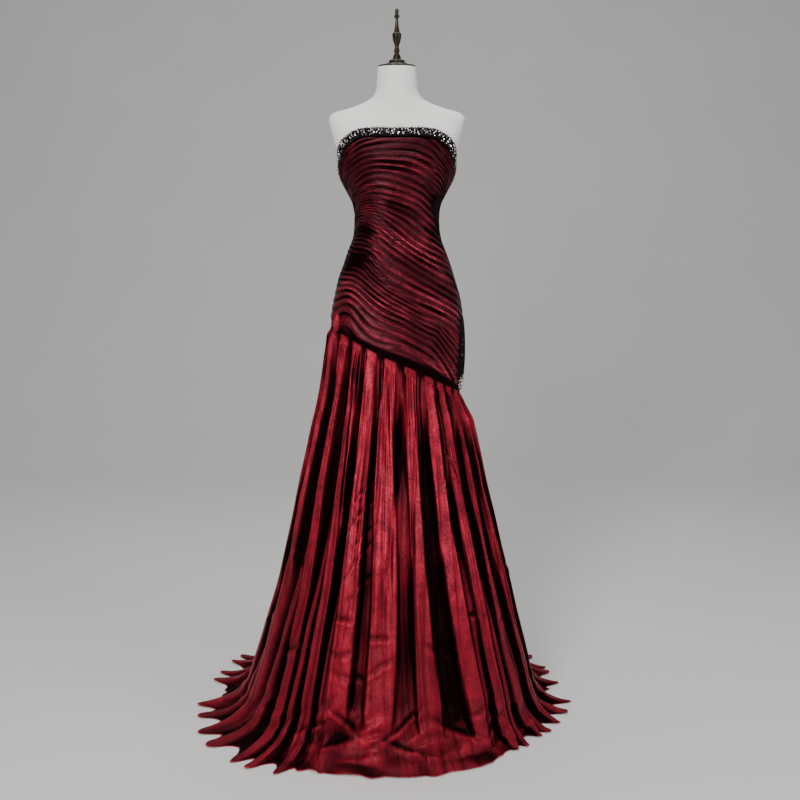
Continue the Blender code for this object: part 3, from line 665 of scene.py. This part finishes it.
class Nodes:
    """A material with helpers for its nodes."""

    def __init__(self, name):
        self.material = bpy.data.materials.new(name)
        self.material.use_nodes = True
        self.tree = self.material.node_tree
        self.shader = self.tree.nodes["Principled BSDF"]

    def add(self, kind, **values):
        node = self.tree.nodes.new(kind)
        for key, value in values.items():
            setattr(node, key, value)
        return node

    def feed(self, socket, value):
        """Give a socket another node's result or a plain value."""
        if isinstance(value, bpy.types.NodeSocket):
            self.tree.links.new(value, socket)
        elif isinstance(value, tuple) and socket.type == "RGBA":
            socket.default_value = (*value, 1)
        else:
            socket.default_value = value

    def fill(self, node, **values):
        for key, value in values.items():
            self.feed(node.inputs[key.replace("_", " ")], value)
        return node

    def set(self, **values):
        self.fill(self.shader, **values)

    def place(self):
        return self.add("ShaderNodeTexCoord").outputs["Object"]

    def math(self, operation, a, b):
        node = self.add("ShaderNodeMath", operation=operation)
        self.feed(node.inputs[0], a)
        self.feed(node.inputs[1], b)
        return node.outputs[0]

    def times(self, a, b):
        return self.math("MULTIPLY", a, b)

    def mix(self, share, a, b, blend="MIX"):
        node = self.add("ShaderNodeMix", data_type="RGBA", blend_type=blend)
        self.feed(node.inputs[0], share)
        self.feed(node.inputs[6], a)
        self.feed(node.inputs[7], b)
        return node.outputs[2]

    def noise(self, vector, scale, detail=3.0, rough=0.55):
        node = self.add("ShaderNodeTexNoise")
        return self.fill(node, Vector=vector, Scale=scale, Detail=detail, Roughness=rough).outputs["Fac"]

    def bands(self, vector, direction, scale, distortion=0.0):
        node = self.add("ShaderNodeTexWave", wave_type="BANDS", bands_direction=direction)
        return self.fill(node, Vector=vector, Scale=scale, Distortion=distortion).outputs["Fac"]

    def stretched(self, vector, scale):
        return self.fill(self.add("ShaderNodeMapping"), Vector=vector, Scale=scale).outputs[0]

    def ramp(self, value, low, high, to_low=0.0, to_high=1.0):
        node = self.add("ShaderNodeMapRange", clamp=True)
        self.fill(node, Value=value, From_Min=low, From_Max=high, To_Min=to_low, To_Max=to_high)
        return node.outputs[0]

    def bump(self, height, strength, distance, under=None):
        node = self.fill(self.add("ShaderNodeBump"), Height=height, Strength=strength, Distance=distance)
        if under is not None:
            self.feed(node.inputs["Normal"], under)
        return node.outputs[0]


def taffeta(name, painted_highlight, lit_red, body, trough, rough):
    """Shot taffeta with painted shade in valleys and on flanks, painted light on ridges, and a grainy
    mottle.
    """
    n = Nodes(name)
    cloth = n.add("ShaderNodeUVMap", uv_map="cloth").outputs[0]
    fold = n.add("ShaderNodeAttribute", attribute_name="fold").outputs["Fac"]
    facing = n.add("ShaderNodeAttribute", attribute_name="facing").outputs["Fac"]
    grain = n.noise(n.stretched(cloth, (430, 400, 1)), 1.0, 3.0, 0.70)
    slub = n.noise(n.stretched(cloth, (210, 130, 1)), 1.0, 4.0, 0.65)
    patch = n.noise(n.stretched(cloth, (27, 17, 1)), 1.0, 4.0, 0.6)
    mottle = n.math("ADD", n.times(grain, 0.42), n.times(slub, 0.28))
    mottle = n.math("ADD", mottle, n.times(patch, 0.30))
    # painted shade: the valleys and steep flanks go near black
    depth = n.times(n.ramp(fold, 0.06, 0.54), n.ramp(facing, 0.42, 0.88))
    low = n.mix(depth, trough, body)
    # painted light: the ridges go a brighter red
    painted_light = n.times(n.ramp(fold, 0.46, 0.98), n.ramp(patch, 0.34, 0.64))
    painted_light = n.times(painted_light, n.ramp(facing, 0.62, 0.96))
    colour = n.mix(painted_light, low, lit_red)
    # painted highlight, pale pink on the crests
    highlight_share = n.times(n.ramp(fold, 0.72, 0.96), n.ramp(slub, 0.40, 0.62, 0.10, 0.70))
    colour = n.mix(n.times(highlight_share, n.ramp(facing, 0.80, 0.98)), colour, painted_highlight)
    dark = n.ramp(mottle, 0.38, 0.60, 0.34, 1.40)
    grey = n.add("ShaderNodeCombineColor")
    for socket in grey.inputs[:3]:
        n.feed(socket, dark)
    colour = n.mix(1.0, colour, grey.outputs[0], "MULTIPLY")
    warp = n.bands(cloth, "X", 420)
    weft = n.bands(cloth, "Y", 360)
    weave = n.math("ADD", n.times(warp, 0.5), n.times(weft, 0.5))
    crumple = n.noise(n.stretched(cloth, (26, 16, 1)), 1.0, 5.0, 0.6)
    wrinkle = n.noise(n.stretched(cloth, (90, 50, 1)), 1.0, 4.0, 0.6)
    first = n.bump(crumple, 0.60, 0.006)
    second = n.bump(wrinkle, 0.45, 0.0024, first)
    third = n.bump(grain, 0.30, 0.0005, second)
    n.set(Base_Color=colour, Roughness=n.ramp(mottle, 0.35, 0.65, rough - 0.07, rough + 0.10))
    n.set(Normal=n.bump(weave, 0.10, 0.0002, third), Specular_IOR_Level=n.ramp(depth, 0.0, 1.0, 0.04, 0.30))
    n.set(Metallic=0.22, Specular_Tint=(1.0, 0.55, 0.60))
    return n.material


def net(name, colour):
    """Fine net with lighter threads."""
    n = Nodes(name)
    cell = n.fill(n.add("ShaderNodeTexVoronoi", feature="DISTANCE_TO_EDGE"), Vector=n.place(), Scale=700)
    line = n.ramp(cell.outputs["Distance"], 0.02, 0.12)
    n.set(Base_Color=n.mix(line, tuple(c * 1.8 for c in colour), colour), Normal=n.bump(line, 0.5, 0.0005))
    n.set(Roughness=0.75, Specular_IOR_Level=0.10)
    return n.material


def bead_glass(name, colour, second, rough, metallic, coat, shine):
    """Glass beads whose tone differs a little from place to place."""
    n = Nodes(name)
    place = n.place()
    tone = n.ramp(n.noise(place, 160, 1.0), 0.42, 0.58)
    wear = n.ramp(n.noise(place, 400, 2.0), 0.3, 0.7, rough, rough + 0.12)
    n.set(Base_Color=n.mix(tone, colour, second), Roughness=wear)
    n.set(Metallic=metallic, Specular_IOR_Level=shine, Coat_Weight=coat, Coat_Roughness=0.08)
    return n.material


def jersey(name):
    n = Nodes(name)
    place = n.place()
    tone = n.noise(place, 6, 3.0)
    knit = n.bump(n.bands(place, "Z", 330, 0.6), 0.15, 0.0003)
    fuzz = n.noise(place, 900, 3.0)
    n.set(Base_Color=n.mix(n.ramp(tone, 0.3, 0.7), (0.85, 0.845, 0.815), (0.90, 0.895, 0.87)))
    n.set(Normal=n.bump(fuzz, 0.25, 0.0004, knit), Roughness=n.ramp(fuzz, 0.3, 0.7, 0.72, 0.85))
    n.set(Sheen_Weight=0.15)
    return n.material


def lacquer(name):
    n = Nodes(name)
    place = n.place()
    grain = n.noise(n.stretched(place, (140, 140, 9)), 1.0, 5.0, 0.6)
    colour = n.mix(n.ramp(grain, 0.40, 0.66), (0.007, 0.005, 0.003), (0.040, 0.028, 0.012))
    n.set(Base_Color=colour, Normal=n.bump(grain, 0.10, 0.0004))
    n.set(Roughness=n.ramp(grain, 0.3, 0.7, 0.26, 0.42))
    n.set(Specular_IOR_Level=0.22, Coat_Weight=0.10, Coat_Roughness=0.12)
    return n.material


def painted_steel(name):
    n = Nodes(name)
    place = n.place()
    peel = n.noise(place, 420, 3.0)
    wear = n.noise(place, 24, 4.0)
    n.set(Base_Color=n.mix(n.ramp(wear, 0.45, 0.65), (0.030, 0.030, 0.032), (0.055, 0.054, 0.052)))
    n.set(Normal=n.bump(peel, 0.18, 0.0004), Roughness=n.ramp(wear, 0.3, 0.7, 0.32, 0.5))
    return n.material


def studio(name, colour):
    n = Nodes(name)
    place = n.place()
    tone = n.noise(place, 2.0, 3.0)
    n.set(Base_Color=n.mix(n.ramp(tone, 0.3, 0.7), colour, tuple(c * 0.97 for c in colour)), Roughness=0.9)
    return n.material


# Near-black painted shade for the cloth's valleys; for each cloth a painted highlight, a painted-light red
# for the ridges and its plain red
TROUGH_SHADE = (0.005, 0.0006, 0.0010)
SKIRT_REDS = ((0.52, 0.040, 0.075), (0.47, 0.013, 0.040), (0.20, 0.004, 0.015))
BODICE_REDS = ((0.50, 0.085, 0.110), (0.34, 0.018, 0.040), (0.070, 0.003, 0.010))
SKIRT_CLOTH = taffeta("skirt_taffeta", *SKIRT_REDS, TROUGH_SHADE, 0.46)
BODICE_CLOTH = taffeta("bodice_taffeta", *BODICE_REDS, TROUGH_SHADE, 0.38)
NET = net("band_net", (0.006, 0.004, 0.005))
DARK_BEAD = bead_glass("dark_beads", (0.003, 0.002, 0.003), (0.012, 0.006, 0.008), 0.36, 0.0, 0.0, 0.10)
CLEAR_BEAD = bead_glass("clear_crystals", (0.78, 0.74, 0.72), (0.10, 0.07, 0.07), 0.08, 0.45, 0.5, 0.5)
COVER = jersey("form_jersey")
WOOD = lacquer("turned_wood")
STEEL = painted_steel("stand_steel")

# Panels of the bodice: bearings, columns and rows; flat size and area of the cut
for node, start, end, across, down, flat, area in (
    ("bodice_front", -90, 90, 162, 590, (0.52, 0.86), 0.36),
    ("bodice_back_left", -180, -90, 90, 440, (0.27, 0.62), 0.125),
    ("bodice_back_right", 90, 180, 90, 500, (0.27, 0.76), 0.16),
):
    panel(node, bodice_grid(start, end, across, down), DRAWN_UP, BODICE_CLOTH)
# Panels of the skirt: fold places, columns, rows hung and on the floor; flat size and area of the cut
for node, first, last, across, down, along_floor, flat, area in (
    ("skirt_front", SIDE_LEFT, SIDE_RIGHT, 384, 200, 50, (2.10, 1.20), 1.50),
    ("skirt_back_right", SIDE_RIGHT, BACK_RIGHT, 192, 180, 50, (1.05, 1.19), 0.75),
    ("skirt_back_left", BACK_LEFT, SIDE_LEFT, 192, 180, 50, (1.10, 1.20), 0.83),
):
    panel(node, skirt_grid(first, last, across, down, along_floor), 1, SKIRT_CLOTH)


# Beads, as joined meshes

def ball():
    """Points and faces of a small faceted ball."""
    shape = bmesh.new()
    bmesh.ops.create_icosphere(shape, subdivisions=1, radius=1.0)
    points = np.array([v.co[:] for v in shape.verts])
    faces = np.array([[v.index for v in f.verts] for f in shape.faces])
    shape.free()
    return points, faces


def scatter(name, centres, sizes, rng, material, flat):
    """Beads joined in one mesh, each turned by chance."""
    points, faces = ball()
    turns = rng.uniform(0, math.pi, len(centres))
    every = []
    for centre, size, turn in zip(centres, sizes, turns):
        c, s = math.cos(turn), math.sin(turn)
        x, y, z = points.T
        spun = np.stack([x * c - y * s, x * s + y * c, z], axis=1)
        every.append(spun * size + centre)
    index = (faces[None, :, :] + (np.arange(len(every)) * len(points))[:, None, None]).reshape(-1, 3)
    entered(fast_mesh(name, np.concatenate(every), index, material, flat=flat), "beaded_cloth")


def band_places():
    """Bearings round the band and the lengths along it where they lie."""
    bearing = np.linspace(-179.8, 179.8, 2400)
    line = off_figure(bearing, neckline(bearing) - band_drop(bearing) / 2, 0.006)
    length = np.pad(np.cumsum(np.linalg.norm(np.diff(line, axis=0), axis=1)), (1, 0))
    return bearing, length


def band_out(share):
    """How far the band's net stands off the form, by share of its depth."""
    return ON_CLOTH + BAND_WALL + BAND_SWELL * np.sin(np.pi * share)


def neckline_band():
    bearing = np.linspace(-180, 180, 361)
    top = neckline(bearing)
    drop = band_drop(bearing)
    rows = []
    for share in (0.0, 0.0, 0.06, 0.15, 0.3, 0.5, 0.7, 0.85, 0.94, 1.0, 1.0):
        rows.append(off_figure(bearing, top - drop * share, band_out(share)))
    rows[0] = off_figure(bearing, top, ON_CLOTH)
    rows[-1] = off_figure(bearing, top - drop, ON_CLOTH)
    grid = np.array(rows)
    made = sheet_mesh("neckline_band_net", grid, NET, cloth_uv(grid), {})
    entered(made, "beaded_cloth", "neckline_band")
    rng = np.random.default_rng(41)
    bearings, length = band_places()
    seeds, gems = ([], []), ([], [])

    def add(beads, share, spacing, radius, start, kept, jitter):
        places = np.arange(start, length[-1], spacing)
        places = places + rng.uniform(-jitter, jitter, len(places))
        places = places[rng.uniform(0, 1, len(places)) < kept]
        here = np.interp(places, length, bearings)
        across = share + rng.uniform(-0.06, 0.06, len(places))
        grown = radius * rng.uniform(0.70, 1.20, len(places))
        out = band_out(np.clip(across, 0, 1)) + grown * 0.35
        beads[0].extend(off_figure(here, neckline(here) - band_drop(here) * across, out))
        beads[1].extend(grown)

    # black seed beads over the whole net, in rows with picots along the top edge
    for share, spacing, radius in (
        (-0.06, 0.0060, 0.0015), (0.03, 0.0030, 0.0016), (0.15, 0.0030, 0.0015), (0.28, 0.0032, 0.0014),
        (0.42, 0.0032, 0.0014), (0.56, 0.0032, 0.0014), (0.70, 0.0032, 0.0014), (0.84, 0.0030, 0.0014),
        (0.97, 0.0030, 0.0016),
    ):
        add(seeds, share, spacing, radius, 0.001, 1.0, 0.0006)
    # clear crystals scattered in loose staggered rows
    for share, spacing, radius, kept in (
        (-0.04, 0.0110, 0.0014, 0.55), (0.12, 0.0084, 0.0020, 0.72), (0.28, 0.0078, 0.0022, 0.74),
        (0.44, 0.0082, 0.0021, 0.72), (0.60, 0.0078, 0.0022, 0.74), (0.76, 0.0086, 0.0020, 0.66),
        (0.92, 0.0104, 0.0015, 0.50),
    ):
        add(gems, share, spacing, radius, 0.009 * (share * 7 % 1), kept, 0.0024)
    scatter("neckline_seed_beads", *seeds, rng, DARK_BEAD, False)
    scatter("neckline_crystals", *gems, rng, CLEAR_BEAD, True)


neckline_band()


# Raised pieces on the hip seam

def disc_grid(spec, steps, taper):
    bearing, height, half_width, half_height, _, seat = spec
    line = np.linspace(-1, 1, steps)
    across, up = np.meshgrid(line, line)
    disc_across = across * np.sqrt(1 - up**2 / 2)
    disc_up = up * np.sqrt(1 - across**2 / 2)
    reach = np.linalg.norm(figure(bearing, height)[:2])
    narrow = 1 - taper * (0.5 + 0.5 * disc_up)
    bearings = bearing + np.degrees(disc_across * narrow * half_width / reach)
    heights = height + disc_up * half_height
    base = ON_CLOTH + seat + PAD_OVER_SKIRT * ease((hip_seam(bearings) - heights) / 0.012)
    return bearings, heights, base, disc_across, disc_up


def dome(far):
    return np.sqrt(np.clip(1 - far**2, 0, 1))


def shell(name, outer, rim, material):
    """A raised sheet with its rim turned down to the cloth below."""
    grid = np.pad(rim, ((1, 1), (1, 1), (0, 0)), "edge")
    grid[1:-1, 1:-1] = outer
    plain = np.ones(grid.shape[:2])
    return sheet_mesh(name, grid, material, cloth_uv(grid), {"fold": plain * 0.8, "facing": plain})


def gather_knot():
    bearings, heights, base, across, up = disc_grid(KNOT, 61, 0.0)
    far = np.hypot(across, up)
    pleat = 0.0015 * np.cos(11 * across + 2.6 * np.sin(2.2 * up + 0.5)) * (1 - far**2)
    pinch = -0.0012 * np.exp(-((up - 0.10) / 0.14) ** 2) * (1 - across**2)
    out = base + PAD_WALL + (KNOT[4] * dome(far) + pleat + pinch)
    outer = off_figure(bearings, heights, np.maximum(out, base + 0.0004))
    made = shell("gather_knot_cloth", outer, off_figure(bearings, heights, base), SKIRT_CLOTH)
    entered(made, "dress_cloth", "gather_knot")


def hip_ornament():
    bearings, heights, base, across, up = disc_grid(ORNAMENT, 41, ORNAMENT_TAPER)
    out = base + PAD_WALL + ORNAMENT[4] * dome(np.hypot(across, up))
    outer = off_figure(bearings, heights, out)
    made = shell("hip_ornament_net", outer, off_figure(bearings, heights, base), NET)
    entered(made, "beaded_cloth", "hip_ornament")
    rng = np.random.default_rng(57)
    bearing, height, half_width, half_height, rise, seat = ORNAMENT
    reach = np.linalg.norm(figure(bearing, height)[:2])

    def on_pad(a, b, lift):
        """Place on the raised piece from shares across and up."""
        narrow = 1 - ORNAMENT_TAPER * (0.5 + 0.5 * b)
        here = bearing + np.degrees(a * narrow * half_width / reach)
        high = height + b * half_height
        low = ON_CLOTH + seat + PAD_WALL + rise * dome(np.hypot(a, b))
        return off_figure(here, high, low + lift)

    seeds, gems = ([], []), ([], [])
    for ring in np.linspace(0.97, 0.10, 12):
        count = int(170 * ring)
        angle = np.linspace(0, 2 * np.pi, count, endpoint=False) + rng.uniform(0, 0.5)
        seeds[0].extend(on_pad(ring * np.sin(angle), ring * np.cos(angle), 0.0006))
        seeds[1].extend(rng.uniform(0.0011, 0.0016, count))
    for b in np.linspace(0.84, -0.50, 16):
        for a in (-0.52, -0.10, 0.34):
            if rng.uniform() < 0.22:
                gems[0].append(on_pad(a + rng.uniform(-0.12, 0.12), b + rng.uniform(-0.04, 0.04), 0.0010))
                gems[1].append(rng.uniform(0.0010, 0.0015))
    for ring, count, size in ((0.0, 1, 0.0062), (0.24, 6, 0.0040), (0.46, 10, 0.0032), (0.66, 12, 0.0022)):
        for k in range(count):
            angle = 2 * math.pi * k / count + 0.3
            a = ring * math.sin(angle) * 0.8 - 0.12
            b = -0.78 + ring * math.cos(angle) * 0.28
            gems[0].append(on_pad(a, b, 0.0018))
            gems[1].append(size)
    scatter("hip_seed_beads", *seeds, rng, DARK_BEAD, False)
    scatter("hip_crystals", *gems, rng, CLEAR_BEAD, True)


gather_knot()
hip_ornament()


# Form, cap, finial and stand

def form_body():
    body = np.linspace(FORM_BOTTOM, SHOULDER, 150)
    shoulders = np.linspace(SHOULDER, NECK_FOOT, 70)[1:]
    neck = np.linspace(NECK_FOOT, NECK_TOP, 24)[1:]
    heights = np.concatenate([body, shoulders, neck])
    bearings = np.linspace(-180, 180, FORM_COLUMNS)
    grid = figure(bearings[None, :], heights[:, None])
    low, high = (np.zeros((1, FORM_COLUMNS, 3)) + (0, 0, z) for z in (FORM_BOTTOM, NECK_TOP))
    grid = np.concatenate([low, grid[:1], grid, grid[-1:], high])
    made = sheet_mesh("form_cover", grid, COVER, cloth_uv(grid), {})
    entered(made, "form_cover", "form_torso")


def turned(name, node, profile, lift):
    """Turned piece from a smooth profile of radius and height."""
    profile = np.array(profile)
    length = np.pad(np.cumsum(np.hypot(*np.diff(profile, axis=0).T)), (1, 0))
    fine = np.linspace(0, length[-1], 110)
    radius = np.interp(fine, length, profile[:, 0])
    height = np.interp(fine, length, profile[:, 1])
    kernel = np.array([1, 2, 1]) / 4
    for _ in range(2):
        radius[1:-1] = np.convolve(radius, kernel, "valid")
        height[1:-1] = np.convolve(height, kernel, "valid")
    radius = np.pad(radius, 1)
    height = np.pad(height, 1, "edge")
    angle = np.linspace(0, 2 * np.pi, 65)
    radius, height = radius[:, None], (height + lift)[:, None]
    grid = np.stack([radius * np.sin(angle), -radius * np.cos(angle), height * np.ones_like(angle)], axis=-1)
    made = sheet_mesh(name, grid[::-1], WOOD, cloth_uv(grid), {})
    entered(made, "turned_wood", node)


# Profiles of the turned pieces: radius, height
CAP = (
    (0.0105, 0.0178), (0.0185, 0.0170), (0.0206, 0.0148), (0.0206, 0.0122), (0.0186, 0.0104),
    (0.0262, 0.0092), (0.0278, 0.0072), (0.0292, 0.0058), (0.0450, 0.0044), (0.0486, 0.0022),
    (0.0478, 0.0),
)
FINIAL = (
    (0.0020, 0.1242), (0.0046, 0.1215), (0.0048, 0.1160), (0.0036, 0.1115), (0.0074, 0.1060),
    (0.0072, 0.1040), (0.0033, 0.1010), (0.0040, 0.0900), (0.0052, 0.0790), (0.0078, 0.0660),
    (0.0116, 0.0638), (0.0119, 0.0612), (0.0112, 0.0550), (0.0092, 0.0440), (0.0055, 0.0340),
    (0.0050, 0.0290), (0.0076, 0.0225), (0.0070, 0.0190), (0.0049, 0.0155), (0.0088, 0.0100),
    (0.0104, 0.0040), (0.0108, 0.0),
)
form_body()
turned("neck_cap_turned", "neck_cap", CAP, NECK_TOP + SEAT)
turned("finial_turned", "finial", FINIAL, NECK_TOP + 2 * SEAT + CAP[0][1])
for node in ("stand_pole", "stand_base"):
    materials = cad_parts[node].data.materials
    materials.clear()
    materials.append(STEEL)


# Studio

def backdrop():
    """Floor that bends up into a wall."""
    side, start, bend, top = 9.0, 2.5, 2.0, 7.0
    profile = [(-side, 0.0), (start, 0.0)]
    for a in np.linspace(0.1, math.pi / 2, 16):
        profile.append((start + bend * math.sin(a), bend - bend * math.cos(a)))
    profile.append((start + bend, top))
    grid = np.array([[(x, y, z) for x in np.linspace(-side, side, 19)] for y, z in profile])
    paper = studio("studio_paper", (0.72, 0.71, 0.70))
    floor = fast_mesh("studio_floor", grid.reshape(-1, 3), grid_faces(*grid.shape[:2]), paper)


def light(name, place, size, power, colour):
    """Area lamp aimed at the middle of the part."""
    data = bpy.data.lights.new(name, "AREA")
    data.shape = "RECTANGLE"
    data.size, data.size_y = size
    data.energy = power
    data.color = colour
    lamp = in_scene(name, data)
    lamp.location = place
    x, y, z = np.array(MIDDLE) - np.array(place)
    lamp.rotation_euler = (math.atan2(math.hypot(x, y), -z), 0, math.atan2(-x, y))


MIDDLE = (0, 0, 0.8)
backdrop()
light("key", (-1.1, -3.5, 2.5), (1.2, 1.4), 130, (1.0, 0.98, 0.95))
light("fill", (2.8, -1.8, 1.8), (1.4, 1.6), 30, (0.95, 0.97, 1.0))
light("top", (0.0, 0.6, 4.2), (2.0, 2.0), 70, (1, 1, 1))

world = bpy.data.worlds.new("studio")
bpy.context.scene.world = world
world.use_nodes = True
sky = world.node_tree.nodes["Background"]
sky.inputs["Color"].default_value = (0.80, 0.82, 0.85, 1)
sky.inputs["Strength"].default_value = 0.30

# Camera at the photograph's angle: focal length and picture width in pixels, tilt in degrees
SENSOR = 36
FOCAL = 1180
PICTURE = 800
CAMERA_PLACE = (0.008, -3.11, 1.41)
CAMERA_DOWN = 10.3
lens = bpy.data.cameras.new("camera")
lens.lens = SENSOR * FOCAL / PICTURE
lens.sensor_width = SENSOR
camera = in_scene("camera", lens)
camera.location = CAMERA_PLACE
camera.rotation_euler = (math.radians(90 - CAMERA_DOWN), 0, 0)
bpy.context.scene.camera = camera
